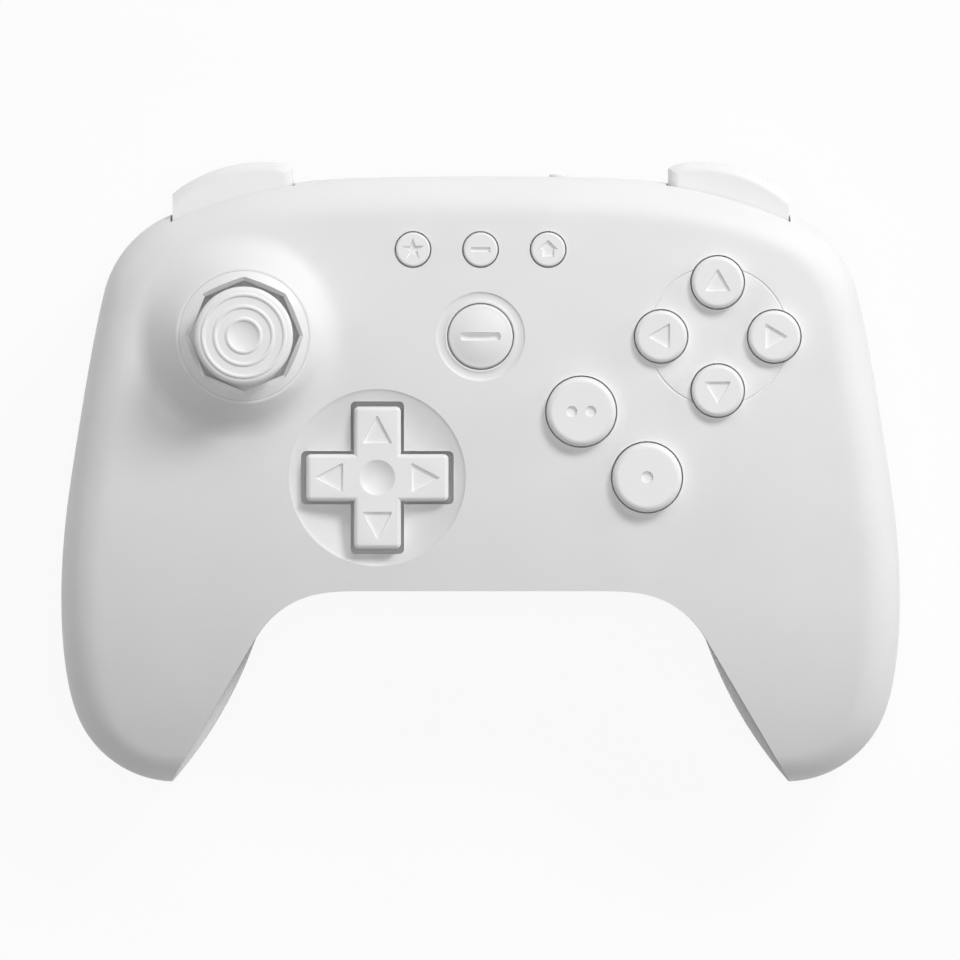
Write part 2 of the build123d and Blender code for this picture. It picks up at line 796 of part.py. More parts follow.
# Stick cap: ringed top, neck and the dome that closes the gate from below
stick_axis = Axis((stick_x, stick_y, 0), (0, 0, 1))
stick_plane = Plane(origin=(stick_x, stick_y, pivot_z), x_dir=(1, 0, 0), z_dir=(0, -1, 0))
cap_low = cap_bottom - pivot_z
cap_high = cap_top - pivot_z
dome_inner = dome_radius - dome_thickness
dome_turn = math.radians(dome_angle)
with BuildPart() as stick_cap:
    with BuildSketch(stick_plane):
        with BuildLine():
            ridges = [share * cap_radius for share in cap_ridge_shares]
            level = cap_high - cap_ridge_height
            edge_point = (cap_radius, level - cap_edge)
            Line((0, 0.5 * (cap_low + cap_high)), (0, level - cap_dimple_depth))
            last = (ridges[-1] - cap_ridge, level)
            ThreePointArc((0, level - cap_dimple_depth), (last[0] / 2, level - 0.8 * cap_dimple_depth), last)
            for ridge in reversed(ridges):
                start = (ridge - cap_ridge, level)
                if start != last:
                    Line(last, start)
                last = (ridge + cap_ridge, level)
                ThreePointArc(start, (ridge, cap_high), last)
            Spline(last, edge_point, tangents=[(1, 0), (0, -1)])
            Line(edge_point, (cap_radius, cap_low + cap_edge / 2))
            Line((cap_radius, cap_low + cap_edge / 2), (cap_radius - cap_edge / 2, cap_low))
            Line((cap_radius - cap_edge / 2, cap_low), (2 * neck_radius, cap_low))
            neck_root = math.sqrt(dome_radius**2 - neck_radius**2)
            Spline(
                (2 * neck_radius, cap_low),
                (neck_radius, cap_low - neck_radius),
                tangents=[(-1, 0), (0, -1)],
            )
            Line((neck_radius, cap_low - neck_radius), (neck_radius, neck_root))
            half_turn = 0.5 * (math.asin(neck_radius / dome_radius) + dome_turn)
            dome_end = (dome_radius * math.sin(dome_turn), dome_radius * math.cos(dome_turn))
            ThreePointArc(
                (neck_radius, neck_root),
                (dome_radius * math.sin(half_turn), dome_radius * math.cos(half_turn)),
                dome_end,
            )
            inner_end = (dome_inner * math.sin(dome_turn), dome_inner * math.cos(dome_turn))
            Line(dome_end, inner_end)
            ThreePointArc(
                inner_end,
                (dome_inner * math.sin(dome_turn / 2), dome_inner * math.cos(dome_turn / 2)),
                (0, dome_inner),
            )
            Line((0, dome_inner), (0, 0.5 * (cap_low + cap_high)))
        make_face()
    revolve(axis=stick_axis)
    with BuildSketch(Plane.XY.offset(pivot_z)):
        with Locations((stick_x, stick_y)):
            Circle(shaft_radius + seat_gap)
    extrude(amount=shaft_reach, mode=Mode.SUBTRACT)
export(stick_cap.part, "stick_cap")

# Stick shaft with its cross pin
with BuildPart() as stick_shaft:
    with BuildSketch(Plane.XY.offset(pivot_z - cradle_half_z)):
        with Locations((stick_x, stick_y)):
            Circle(shaft_radius)
    extrude(amount=cradle_half_z + shaft_reach)
    with BuildSketch(Plane.XZ.offset(-stick_y - cradle_half_y)):
        with Locations((stick_x, pivot_z)):
            Circle(cross_pin_radius)
    extrude(amount=2 * cradle_half_y)
export(stick_shaft.part, "stick_shaft")

# Pitch cradle: turns about X and carries the shaft's cross pin
slot_half = shaft_radius + cradle_half_z * math.tan(math.radians(stick_tilt)) + skin_gap
with BuildPart() as pitch_cradle:
    with Locations((stick_x, stick_y, pivot_z)):
        Box(2 * cradle_half_x, 2 * cradle_half_y, 2 * cradle_half_z)
    with BuildSketch(Plane.YZ.offset(stick_x - module_half + running_gap)):
        with Locations((stick_y, pivot_z)):
            Circle(trunnion_radius)
    extrude(amount=2 * (module_half - running_gap))
    with BuildSketch(Plane.XY.offset(pivot_z - cradle_half_z)):
        with Locations((stick_x, stick_y)):
            Rectangle(2 * slot_half, 2 * (shaft_radius + fit_gap))
    extrude(amount=2 * cradle_half_z, mode=Mode.SUBTRACT)
    with BuildSketch(Plane.XZ.offset(-stick_y - cradle_half_y)):
        with Locations((stick_x, pivot_z)):
            Circle(cross_pin_radius + running_gap)
    extrude(amount=2 * cradle_half_y, mode=Mode.SUBTRACT)
export(pitch_cradle.part, "pitch_cradle")

# Roll cradle: an arch that turns about Y, pushed by the shaft in its slot
with BuildPart() as roll_cradle:
    with BuildSketch(Plane.YZ.offset(stick_x - arch_half)):
        with Locations((stick_y, pivot_z)):
            Circle(arch_outer)
            Circle(arch_inner, mode=Mode.SUBTRACT)
            with Locations((0, -arch_outer)):
                Rectangle(2 * arch_outer, 2 * (arch_outer - trunnion_radius), mode=Mode.SUBTRACT)
    extrude(amount=2 * arch_half)
    for low in (stick_y - module_half + running_gap, stick_y + arch_inner):
        with BuildSketch(Plane.XZ.offset(-low)):
            with Locations((stick_x, pivot_z)):
                Circle(trunnion_radius)
        extrude(amount=-(module_half - arch_inner - running_gap))
    with BuildSketch(Plane.XY.offset(pivot_z + trunnion_radius)):
        with Locations((stick_x, stick_y)):
            Rectangle(2 * (shaft_radius + arch_slot_gap), 2 * arch_slot_half)
    extrude(amount=arch_outer, mode=Mode.SUBTRACT)
export(roll_cradle.part, "roll_cradle")

# Stick base: open box with four bearings, on the main board
with BuildPart() as stick_base:
    with BuildSketch(Plane.XY.offset(main_top)):
        with Locations((stick_x, stick_y)):
            Rectangle(2 * module_half, 2 * module_half)
    extrude(amount=pivot_rise + 2 * trunnion_radius)
    with BuildSketch(Plane.XY.offset(main_top + running_gap + cradle_floor)):
        with Locations((stick_x, stick_y)):
            Rectangle(2 * (module_half - module_wall), 2 * (module_half - module_wall))
    extrude(amount=module_rise, mode=Mode.SUBTRACT)
    with BuildSketch(Plane.YZ.offset(stick_x - module_half)):
        with Locations((stick_y, pivot_z)):
            Circle(trunnion_radius + running_gap)
    extrude(amount=2 * module_half, mode=Mode.SUBTRACT)
    with BuildSketch(Plane.XZ.offset(-stick_y - module_half)):
        with Locations((stick_x, pivot_z)):
            Circle(trunnion_radius + running_gap)
    extrude(amount=2 * module_half, mode=Mode.SUBTRACT)
export(stick_base.part, "stick_base")

# Direction pad with its flange, dimple and ball socket
pad_top = pad_face + pad_proud
flange_top = pad_roof - pad_flange_gap
flange_bottom = flange_top - pad_flange
pad_rubber_place = pad_span / 2 - plunger_radius - pad_arm / 4
with BuildPart() as dpad:
    with BuildSketch(Plane.XY.offset(flange_top)):
        cross(pad_span, pad_arm)
    extrude(amount=pad_top - flange_top)
    fillet(dpad.faces().sort_by(Axis.Z)[-1].edges(), pad_edge)
    with BuildSketch(Plane.XY.offset(flange_bottom)):
        cross(pad_well_span + 2 * pad_flange_over, pad_well_arm + 2 * pad_flange_over)
    extrude(amount=pad_flange)
    ball = (pad_dimple_radius**2 + pad_dimple_depth**2) / (2 * pad_dimple_depth)
    with Locations((pad_x, pad_y, pad_top + ball - pad_dimple_depth)):
        Sphere(ball, mode=Mode.SUBTRACT)
    with Locations((pad_x, pad_y, ball_z)):
        Sphere(ball_radius + running_gap, mode=Mode.SUBTRACT)
export(dpad.part, "dpad")

with BuildPart() as dpad_ball:
    with Locations((pad_x, pad_y, ball_z)):
        Sphere(ball_radius)
export(dpad_ball.part, "dpad_ball")

with BuildPart() as dpad_post:
    with BuildSketch(Plane.XY.offset(board_top)):
        with Locations((pad_x, pad_y)):
            Circle(post_radius)
    extrude(amount=ball_rise - skin_gap)
    with Locations((pad_x, pad_y, ball_z)):
        Sphere(ball_radius + running_gap, mode=Mode.SUBTRACT)
export(dpad_post.part, "dpad_post")


def round_button(name, x, y, radius, proud, rim, crown):
    """One button: rounded cap, flat or crowned, flange under the shell, hollow back and plunger."""
    top = face_z(x, y) + proud
    low = roof_z(x, y, radius + button_flange_over) - skin_gap - button_flange
    with BuildPart() as button:
        with BuildSketch(Plane.XY.offset(low)):
            with Locations((x, y)):
                Circle(radius)
        extrude(amount=top - low)
        if crown:
            ball = (radius**2 + crown**2) / (2 * crown)
            with Locations((x, y, top - ball)):
                Sphere(ball, mode=Mode.INTERSECT)
        fillet(button.faces().sort_by(Axis.Z)[-1].edges(), rim)
        with BuildSketch(Plane.XY.offset(low)):
            with Locations((x, y)):
                Circle(radius + button_flange_over)
        extrude(amount=button_flange)
        with BuildSketch(Plane.XY.offset(low)):
            with Locations((x, y)):
                Circle(radius - button_wall)
                Circle(plunger_radius, mode=Mode.SUBTRACT)
        extrude(amount=top - crown - button_roof - low, mode=Mode.SUBTRACT)
        with BuildSketch(Plane.XY.offset(plunger_bottom)):
            with Locations((x, y)):
                Circle(plunger_radius)
        extrude(amount=top - crown - button_roof - plunger_bottom)
    export(button.part, name)


for place in button_places:
    round_button(*place)


def rubber_mat(name, domes, hole):
    """Rubber sheet on the button board, with a hollow dome under each button."""
    with BuildPart() as mat:
        with BuildSketch(Plane.XY.offset(board_top)):
            for x, y, foot, top in domes:
                with Locations((x, y)):
                    Circle(foot + rubber_margin)
            make_hull()
            if hole:
                with Locations((pad_x, pad_y)):
                    Circle(hole, mode=Mode.SUBTRACT)
        extrude(amount=rubber_sheet)
        for x, y, foot, top in domes:
            with Locations((x, y, board_top)):
                Cone(
                    foot,
                    plunger_radius + rubber_wall,
                    top - board_top,
                    align=(Align.CENTER, Align.CENTER, Align.MIN),
                )
            with Locations((x, y, board_top)):
                Cone(
                    foot - rubber_wall,
                    plunger_radius,
                    top - rubber_wall - board_top,
                    align=(Align.CENTER, Align.CENTER, Align.MIN),
                    mode=Mode.SUBTRACT,
                )
    export(mat.part, name)


pad_domes = [
    (pad_x + dx * pad_rubber_place, pad_y + dy * pad_rubber_place, pad_arm / 3, flange_bottom)
    for dx, dy in ((1, 0), (0, 1), (-1, 0), (0, -1))
]
button_domes = [(x, y, rubber_dome_share * r, plunger_bottom) for name, x, y, r, proud, rim, crown in button_places]
rubber_mat("dpad_rubber", pad_domes, post_radius + skin_gap)
rubber_mat("face_rubber", button_domes[:6], 0)
rubber_mat("menu_rubber", button_domes[6:], 0)

# Upper board, held to the posts of the front shell
with BuildPart() as button_board:
    with BuildSketch(Plane.XY.offset(board_top - board_thickness)):
        with BuildLine():
            Polyline(*[outline_point(share) for share in button_board_shares], close=True)
        make_face()
        with Locations((stick_x, stick_y)):
            Circle(dome_radius + board_clearance, mode=Mode.SUBTRACT)
        with Locations(*board_post_places):
            Circle(board_screw_radius + seat_gap, mode=Mode.SUBTRACT)
        with Locations(*screw_places):
            Circle(screw_post_radius + board_clearance, mode=Mode.SUBTRACT)
    extrude(amount=board_thickness)
export(button_board.part, "button_board")

# Lower board, on the posts of the rear shell
with BuildPart() as main_board:
    with BuildSketch(Plane.XY.offset(main_bottom)):
        with BuildLine():
            Polyline(*[outline_point(share) for share in main_board_shares], close=True)
        make_face()
        with Locations(*main_post_places):
            Circle(board_screw_radius + seat_gap, mode=Mode.SUBTRACT)
    extrude(amount=main_thickness)
export(main_board.part, "main_board")


def screws(name, places, seat, down, shank, length, head, head_height):
    """A group of like screws whose heads bear on one level."""
    way = -1 if down else 1
    with BuildPart() as group:
        with BuildSketch(Plane.XY.offset(seat)):
            with Locations(*places):
                Circle(shank)
        extrude(amount=way * length)
        with BuildSketch(Plane.XY.offset(seat)):
            with Locations(*places):
                Circle(head)
        extrude(amount=-way * head_height)
        with BuildSketch(Plane.XY.offset(seat - way * head_height)):
            with Locations(*places):
                RegularPolygon(shank, 4)
        extrude(amount=way * head_height / 2, mode=Mode.SUBTRACT)
    export(group.part, name)


screws(
    "shell_screws",
    screw_places,
    screw_meet - screw_seat,
    False,
    screw_shank_radius - seat_gap,
    screw_length,
    screw_head_radius,
    screw_head_height,
)
screws(
    "button_board_screws",
    board_post_places,
    board_top - board_thickness,
    False,
    board_screw_radius - seat_gap,
    board_screw_length,
    board_screw_head,
    board_screw_head_height,
)
screws(
    "main_board_screws",
    main_post_places,
    main_top,
    True,
    board_screw_radius - seat_gap,
    board_screw_length,
    board_screw_head,
    board_screw_head_height,
)

# Left bumper; the right one is its mirror image
with BuildPart() as left_bumper:
    add(bumper_block(0, bumper_bottom, bumper_top, 0))
    crest = [
        edge
        for edge in left_bumper.faces().sort_by(Axis.Z)[-1].edges()
        if edge.center().Y > bumper_outer_y - bumper_depth / 4
    ]
    fillet(crest, bumper_round)
    with BuildSketch(Plane.XY.offset(bumper_arm_low)):
        with BuildLine():
            Polyline(
                (-bumper_pin_x, bumper_pin_y - bumper_eye_radius),
                (-bumper_inner_x - bumper_eye_radius, bumper_inner_y - bumper_depth + skin_gap),
                (-bumper_inner_x - bumper_eye_radius, bumper_pin_y + bumper_eye_radius),
                (-bumper_pin_x, bumper_pin_y + bumper_eye_radius),
                close=True,
            )
        make_face()
        with Locations((-bumper_pin_x, bumper_pin_y)):
            Circle(bumper_eye_radius)
            Circle(bumper_pin_radius + running_gap, mode=Mode.SUBTRACT)
    extrude(amount=bumper_arm_high - bumper_arm_low)
    with BuildSketch(Plane.XY.offset(bumper_arm_low)):
        with Locations((-bumper_pin_x, bumper_pin_y)):
            Circle(bumper_pin_radius + running_gap)
    extrude(amount=bumper_arm_high - bumper_arm_low, mode=Mode.SUBTRACT)
export(left_bumper.part, "left_bumper")
export(mirror(left_bumper.part, about=Plane.YZ), "right_bumper")

with BuildPart() as left_bumper_pin:
    with BuildSketch(Plane.XY.offset(bumper_bottom)):
        with Locations((-bumper_pin_x, bumper_pin_y)):
            Circle(bumper_pin_radius)
    extrude(amount=bumper_pin_top - bumper_bottom)
export(left_bumper_pin.part, "left_bumper_pin")
export(mirror(left_bumper_pin.part, about=Plane.YZ), "right_bumper_pin")

# Left trigger: eye on its pin, hollow finger face and a turned-out tip
with BuildPart() as left_trigger:
    with BuildSketch(Plane.YZ.offset(-trigger_outer_x)):
        with BuildLine():
            front_y = bumper_crest_y - trigger_setback
            eye_top = (trigger_hinge_y, trigger_hinge_z + trigger_eye_radius)
            eye_low = (trigger_hinge_y, trigger_hinge_z - trigger_eye_radius)
            shoulder = (trigger_hinge_y + 1.5 * trigger_eye_radius, trigger_top)
            brow = (front_y - 2 * trigger_round, trigger_top)
            cheek = (front_y, trigger_top - 2 * trigger_round)
            lip_point = (front_y - trigger_round, trigger_tip + trigger_round)
            tip_point = (front_y - 2 * trigger_round, trigger_tip)
            heel = (front_y - trigger_thickness, trigger_tip + trigger_round)
            Line(eye_top, shoulder)
            Line(shoulder, brow)
            ThreePointArc(
                brow,
                (front_y - 0.6 * trigger_round, trigger_top - 0.6 * trigger_round),
                cheek,
            )
            ThreePointArc(
                cheek,
                (front_y - trigger_hollow, (cheek[1] + lip_point[1]) / 2),
                lip_point,
            )
            ThreePointArc(
                lip_point,
                (front_y - 1.3 * trigger_round, trigger_tip + 0.3 * trigger_round),
                tip_point,
            )
            Line(tip_point, heel)
            ThreePointArc(
                heel,
                (front_y - trigger_thickness - trigger_hollow, (trigger_hinge_z + trigger_tip) / 2),
                eye_low,
            )
            ThreePointArc(eye_low, (trigger_hinge_y - trigger_eye_radius, trigger_hinge_z), eye_top)
        make_face()
        with Locations((trigger_hinge_y, trigger_hinge_z)):
            Circle(trigger_pin_radius + running_gap, mode=Mode.SUBTRACT)
    extrude(amount=trigger_outer_x - trigger_inner_x)
    with BuildSketch():
        with BuildLine():
            bumper_outline(-trigger_setback)
        make_face()
        with Locations((-(trigger_inner_x + trigger_outer_x) / 2, trigger_hinge_y)):
            Rectangle(bumper_outer_x - bumper_inner_x, 2 * (bumper_outer_y - trigger_hinge_y))
    extrude(amount=block_height, mode=Mode.INTERSECT)
export(left_trigger.part, "left_trigger")
export(mirror(left_trigger.part, about=Plane.YZ), "right_trigger")

pin_half = (trigger_outer_x - trigger_inner_x) / 2 + skin_gap + trigger_plate
with BuildPart() as left_trigger_pin:
    with BuildSketch(Plane.YZ.offset(-trigger_outer_x - skin_gap - trigger_plate)):
        with Locations((trigger_hinge_y, trigger_hinge_z)):
            Circle(trigger_pin_radius)
    extrude(amount=2 * pin_half)
export(left_trigger_pin.part, "left_trigger_pin")
export(mirror(left_trigger_pin.part, about=Plane.YZ), "right_trigger_pin")

# Rumble motors with their eccentric weights
motor_end = motor_y - motor_length
with BuildPart() as left_motor:
    with BuildSketch(Plane.XZ.offset(-motor_y)):
        with Locations((-motor_x, motor_z)):
            Circle(motor_radius)
    extrude(amount=motor_length)
    with BuildSketch(Plane.XZ.offset(-motor_end)):
        with Locations((-motor_x, motor_z)):
            Circle(motor_shaft_radius)
    extrude(amount=weight_gap + weight_thickness)
export(left_motor.part, "left_motor")
export(mirror(left_motor.part, about=Plane.YZ), "right_motor")

with BuildPart() as left_weight:
    with BuildSketch(Plane.XZ.offset(-motor_end + weight_gap)):
        with Locations((-motor_x, motor_z)):
            Circle(weight_radius)
            with Locations((0, weight_radius + motor_shaft_radius)):
                Rectangle(2 * weight_radius, 2 * weight_radius, mode=Mode.SUBTRACT)
            Circle(2 * motor_shaft_radius)
            Circle(motor_shaft_radius + running_gap, mode=Mode.SUBTRACT)
    extrude(amount=weight_thickness)
export(left_weight.part, "left_weight")
export(mirror(left_weight.part, about=Plane.YZ), "right_weight")

# Battery on its two ribs
with BuildPart() as battery:
    with BuildSketch(Plane.XY.offset(battery_floor)):
        with Locations((0, battery_place_y)):
            RectangleRounded(battery_x, battery_y, battery_z / 3)
    extrude(amount=battery_z)
    fillet(battery.edges().filter_by(Axis.Z, reverse=True), battery_z / 6)
export(battery.part, "battery")

# USB-C socket: shell and tongue
port_mouth = top_shares[0][1] * half_depth - wall
with BuildPart() as usb_port:
    with BuildSketch(Plane.XZ.offset(-port_mouth)):
        with Locations((0, port_z)):
            RectangleRounded(port_width, port_height, port_height / 2 - seat_gap)
    extrude(amount=port_length)
    with BuildSketch(Plane.XZ.offset(-port_mouth)):
        with Locations((0, port_z)):
            RectangleRounded(
                port_width - 2 * port_shell,
                port_height - 2 * port_shell,
                port_height / 2 - port_shell - seat_gap,
            )
            Rectangle(port_width * 0.75, port_height / 4, mode=Mode.SUBTRACT)
    extrude(amount=port_length - 3 * port_shell, mode=Mode.SUBTRACT)
export(usb_port.part, "usb_port")

# Pairing button in the top edge and its switch on the main board
pair_face = top_shares[0][1] * half_depth
with BuildPart() as pairing_button:
    with BuildSketch(Plane.XZ.offset(-pair_face - pair_proud)):
        with Locations((pair_x, port_z)):
            Circle(pair_radius)
    extrude(amount=pair_proud + wall + skin_gap)
    with BuildSketch(Plane.XZ.offset(-pair_face + wall + skin_gap)):
        with Locations((pair_x, port_z)):
            Circle(pair_radius + button_flange_over)
    extrude(amount=pair_plate)
    with BuildSketch(Plane.XZ.offset(-pair_face + wall + skin_gap + pair_plate)):
        with Locations((pair_x, port_z)):
            Circle(port_z - main_top - skin_gap)
    extrude(amount=pair_stem)
export(pairing_button.part, "pairing_button")

pair_back = pair_face - wall - skin_gap - pair_plate - pair_stem
with BuildPart() as pairing_switch:
    with BuildSketch(Plane.XZ.offset(-pair_back + pair_travel + fit_gap)):
        with Locations((pair_x, port_z)):
            Rectangle(2 * pair_radius, 2 * (port_z - main_top))
    extrude(amount=pair_switch)
export(pairing_switch.part, "pairing_switch")

# Mode switch: knob in the back, body under the main board
switch_floor = rear_middle_height(switch_y)
with BuildPart() as mode_knob:
    with BuildSketch(Plane.XY.offset(switch_floor - switch_proud)):
        with Locations((0, switch_y)):
            Rectangle(switch_knob_x, switch_knob_y)
    extrude(amount=switch_proud + wall + skin_gap)
    with BuildSketch(Plane.XY.offset(switch_floor + wall + skin_gap)):
        with Locations((0, switch_y)):
            Rectangle(switch_knob_x + 4 * switch_travel, 2 * switch_knob_y)
    extrude(amount=switch_plate)
export(mode_knob.part, "mode_knob")

with BuildPart() as mode_switch_body:
    with BuildSketch(Plane.XY.offset(switch_floor + wall + 2 * skin_gap + switch_plate)):
        with Locations((0, switch_y)):
            Rectangle(2 * switch_knob_x, 2 * switch_knob_y)
    extrude(amount=main_bottom - switch_floor - wall - 2 * skin_gap - switch_plate)
export(mode_switch_body.part, "mode_switch_body")
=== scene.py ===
import json
import math

import bmesh
import bpy
from mathutils import Matrix, Vector
from mathutils.bvhtree import BVHTree


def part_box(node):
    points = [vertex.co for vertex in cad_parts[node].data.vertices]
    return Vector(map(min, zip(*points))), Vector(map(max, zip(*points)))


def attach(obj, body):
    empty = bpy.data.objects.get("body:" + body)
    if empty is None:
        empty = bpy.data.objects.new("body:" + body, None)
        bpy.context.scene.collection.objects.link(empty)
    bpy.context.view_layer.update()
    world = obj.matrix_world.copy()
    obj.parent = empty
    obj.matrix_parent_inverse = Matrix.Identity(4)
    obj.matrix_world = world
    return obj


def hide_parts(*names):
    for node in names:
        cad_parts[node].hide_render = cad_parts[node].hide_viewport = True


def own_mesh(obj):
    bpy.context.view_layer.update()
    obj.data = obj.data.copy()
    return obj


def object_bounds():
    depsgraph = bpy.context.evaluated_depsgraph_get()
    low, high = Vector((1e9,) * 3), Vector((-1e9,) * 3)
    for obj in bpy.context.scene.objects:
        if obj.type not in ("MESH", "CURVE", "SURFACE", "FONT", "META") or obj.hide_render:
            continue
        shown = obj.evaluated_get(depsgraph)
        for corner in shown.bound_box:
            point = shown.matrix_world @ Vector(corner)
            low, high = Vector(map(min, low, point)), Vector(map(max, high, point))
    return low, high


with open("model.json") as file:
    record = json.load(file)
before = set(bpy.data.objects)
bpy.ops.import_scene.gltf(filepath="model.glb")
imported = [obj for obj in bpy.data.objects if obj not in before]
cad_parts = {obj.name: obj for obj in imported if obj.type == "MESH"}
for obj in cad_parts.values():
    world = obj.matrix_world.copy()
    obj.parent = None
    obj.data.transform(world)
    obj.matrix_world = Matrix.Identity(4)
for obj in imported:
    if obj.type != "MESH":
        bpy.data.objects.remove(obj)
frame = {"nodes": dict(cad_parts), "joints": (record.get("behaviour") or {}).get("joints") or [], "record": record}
cad_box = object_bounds()

# Sizes are in metres. Places come from the frame; sizes follow the photograph and the solids.
MM = 0.001


# Materials

WHITE_SHELL = (0.83, 0.83, 0.835)
WHITE_BUTTON = (0.86, 0.86, 0.865)

# Where a colour ramp starts and ends over a noise
RAMP_LOW = 0.35
RAMP_HIGH = 0.65

# Noises as (scale, detail, roughness)
CLOUDS = (60.0, 3.0, 0.5)
GLOSS = (240.0, 2.0, 0.6)
WEAVE = (900.0, 1.0, 0.5)
FLOOR_GRAIN = (30.0, 3.0, 0.5)
FINE_GRAIN = {"detail": 2.0, "roughness": 0.6}

GLOSS_SPREAD = 0.05
GRAIN_HEIGHT = 0.02 * MM
BOARD_ROUGHNESS = (0.3, 0.45)
BOARD_GREENS = {
    "Color1": (0.012, 0.10, 0.045, 1),
    "Color2": (0.015, 0.12, 0.05, 1),
    "Mortar": (0.03, 0.22, 0.09, 1),
}
TRACK_SCALE = 180.0
TRACK_WIDTH = 0.03


def new_material(name):
    material = bpy.data.materials.new(name)
    material.use_nodes = True
    tree = material.node_tree
    shader = tree.nodes["Principled BSDF"]
    return material, tree, shader


def noise_node(tree, scale, detail, roughness):
    coordinates = tree.nodes.new("ShaderNodeTexCoord")
    texture = tree.nodes.new("ShaderNodeTexNoise")
    texture.inputs["Scale"].default_value = scale
    texture.inputs["Detail"].default_value = detail
    texture.inputs["Roughness"].default_value = roughness
    tree.links.new(coordinates.outputs["Object"], texture.inputs["Vector"])
    return texture


def ramp_node(tree, source, low, high):
    ramp = tree.nodes.new("ShaderNodeValToRGB")
    ramp.color_ramp.elements[0].position = RAMP_LOW
    ramp.color_ramp.elements[0].color = (*low, 1)
    ramp.color_ramp.elements[1].position = RAMP_HIGH
    ramp.color_ramp.elements[1].color = (*high, 1)
    tree.links.new(source, ramp.inputs["Fac"])
    return ramp.outputs["Color"]


def range_node(tree, source, low, high):
    mapped = tree.nodes.new("ShaderNodeMapRange")
    mapped.inputs["To Min"].default_value = low
    mapped.inputs["To Max"].default_value = high
    tree.links.new(source, mapped.inputs["Value"])
    return mapped.outputs["Result"]


def moulded(name, colour, rough, grain, relief, metallic=0.0, spread=0.03):
    """Moulded or drawn surface: fine grain in relief, faint cloudiness in colour and gloss."""
    material, tree, shader = new_material(name)
    clouds = noise_node(tree, *CLOUDS)
    low = tuple(channel * (1 - spread) for channel in colour)
    tree.links.new(ramp_node(tree, clouds.outputs["Fac"], low, colour), shader.inputs["Base Color"])
    gloss = noise_node(tree, *GLOSS)
    roughness = range_node(tree, gloss.outputs["Fac"], rough - GLOSS_SPREAD, rough + GLOSS_SPREAD)
    tree.links.new(roughness, shader.inputs["Roughness"])
    shader.inputs["Metallic"].default_value = metallic
    fine = noise_node(tree, grain, **FINE_GRAIN)
    bump = tree.nodes.new("ShaderNodeBump")
    bump.inputs["Strength"].default_value = relief
    bump.inputs["Distance"].default_value = GRAIN_HEIGHT
    tree.links.new(fine.outputs["Fac"], bump.inputs["Height"])
    tree.links.new(bump.outputs["Normal"], shader.inputs["Normal"])
    return material


def board_material(name):
    """Green board: woven glass under lacquer, with brighter tracks."""
    material, tree, shader = new_material(name)
    coordinates = tree.nodes.new("ShaderNodeTexCoord")
    tracks = tree.nodes.new("ShaderNodeTexBrick")
    tracks.inputs["Scale"].default_value = TRACK_SCALE
    tracks.inputs["Mortar Size"].default_value = TRACK_WIDTH
    for socket, green in BOARD_GREENS.items():
        tracks.inputs[socket].default_value = green
    tree.links.new(coordinates.outputs["Object"], tracks.inputs["Vector"])
    tree.links.new(tracks.outputs["Color"], shader.inputs["Base Color"])
    weave = noise_node(tree, *WEAVE)
    roughness = range_node(tree, weave.outputs["Fac"], *BOARD_ROUGHNESS)
    tree.links.new(roughness, shader.inputs["Roughness"])
    return material


MATERIALS = {
    "shell_plastic": moulded(
        "shell_plastic_look", WHITE_SHELL, rough=0.52, grain=5200.0, relief=0.16
    ),
    "button_plastic": moulded(
        "button_plastic_look", WHITE_BUTTON, rough=0.44, grain=6500.0, relief=0.10
    ),
    "cap_plastic": moulded(
        "cap_plastic_look", WHITE_BUTTON, rough=0.5, grain=6500.0, relief=0.12
    ),
    "ring_plastic": moulded(
        "ring_plastic_look", WHITE_SHELL, rough=0.4, grain=6500.0, relief=0.08
    ),
    "black_plastic": moulded(
        "black_plastic_look", (0.03, 0.03, 0.032), rough=0.45, grain=3000.0, relief=0.2, spread=0.2
    ),
    "grey_plastic": moulded(
        "grey_plastic_look", (0.38, 0.38, 0.39), rough=0.45, grain=3000.0, relief=0.2, spread=0.1
    ),
    "rubber": moulded(
        "rubber_look", (0.52, 0.53, 0.54), rough=0.7, grain=1800.0, relief=0.3, spread=0.08
    ),
    "circuit_board": board_material("circuit_board_look"),
    "steel": moulded(
        "steel_look", (0.6, 0.6, 0.61), rough=0.3, grain=2500.0, relief=0.1,
        metallic=1.0, spread=0.1
    ),
    "motor_can": moulded(
        "motor_can_look", (0.55, 0.55, 0.56), rough=0.35, grain=1500.0, relief=0.15,
        metallic=1.0, spread=0.12
    ),
    "brass_weight": moulded(
        "brass_weight_look", (0.6, 0.48, 0.26), rough=0.4, grain=1500.0, relief=0.3,
        metallic=1.0, spread=0.12
    ),
    "battery_foil": moulded(
        "battery_foil_look", (0.62, 0.62, 0.64), rough=0.35, grain=900.0, relief=0.5,
        metallic=1.0, spread=0.1
    ),
}

slot_of = {part["node"]: part["material_slot"] for part in frame["record"]["subparts"]}
for node, obj in frame["nodes"].items():
    obj.data.materials.clear()
    obj.data.materials.append(MATERIALS[slot_of[node]])


# Mesh helpers

TURN_STEPS = 96
WELD = 0.001 * MM

# Edges that turn by more than this many degrees stay sharp
SMOOTH_TURNED = 30.0
SMOOTH_CAP = 28.0
SMOOTH_SHELL = 24.0
SMOOTH_PAD = 21.0


def add_object(name, data):
    obj = bpy.data.objects.new(name, data)
    bpy.context.scene.collection.objects.link(obj)
    return obj


def smooth_by_angle(mesh, degrees):
    """Smooth shading, with the edges that turn by more than the angle kept sharp."""
    limit = math.radians(degrees)
    bm = bmesh.new()
    bm.from_mesh(mesh)
    for face in bm.faces:
        face.smooth = True
    for edge in bm.edges:
        edge.smooth = len(edge.link_faces) == 2 and edge.calc_face_angle(0) < limit
    bm.to_mesh(mesh)
    bm.free()


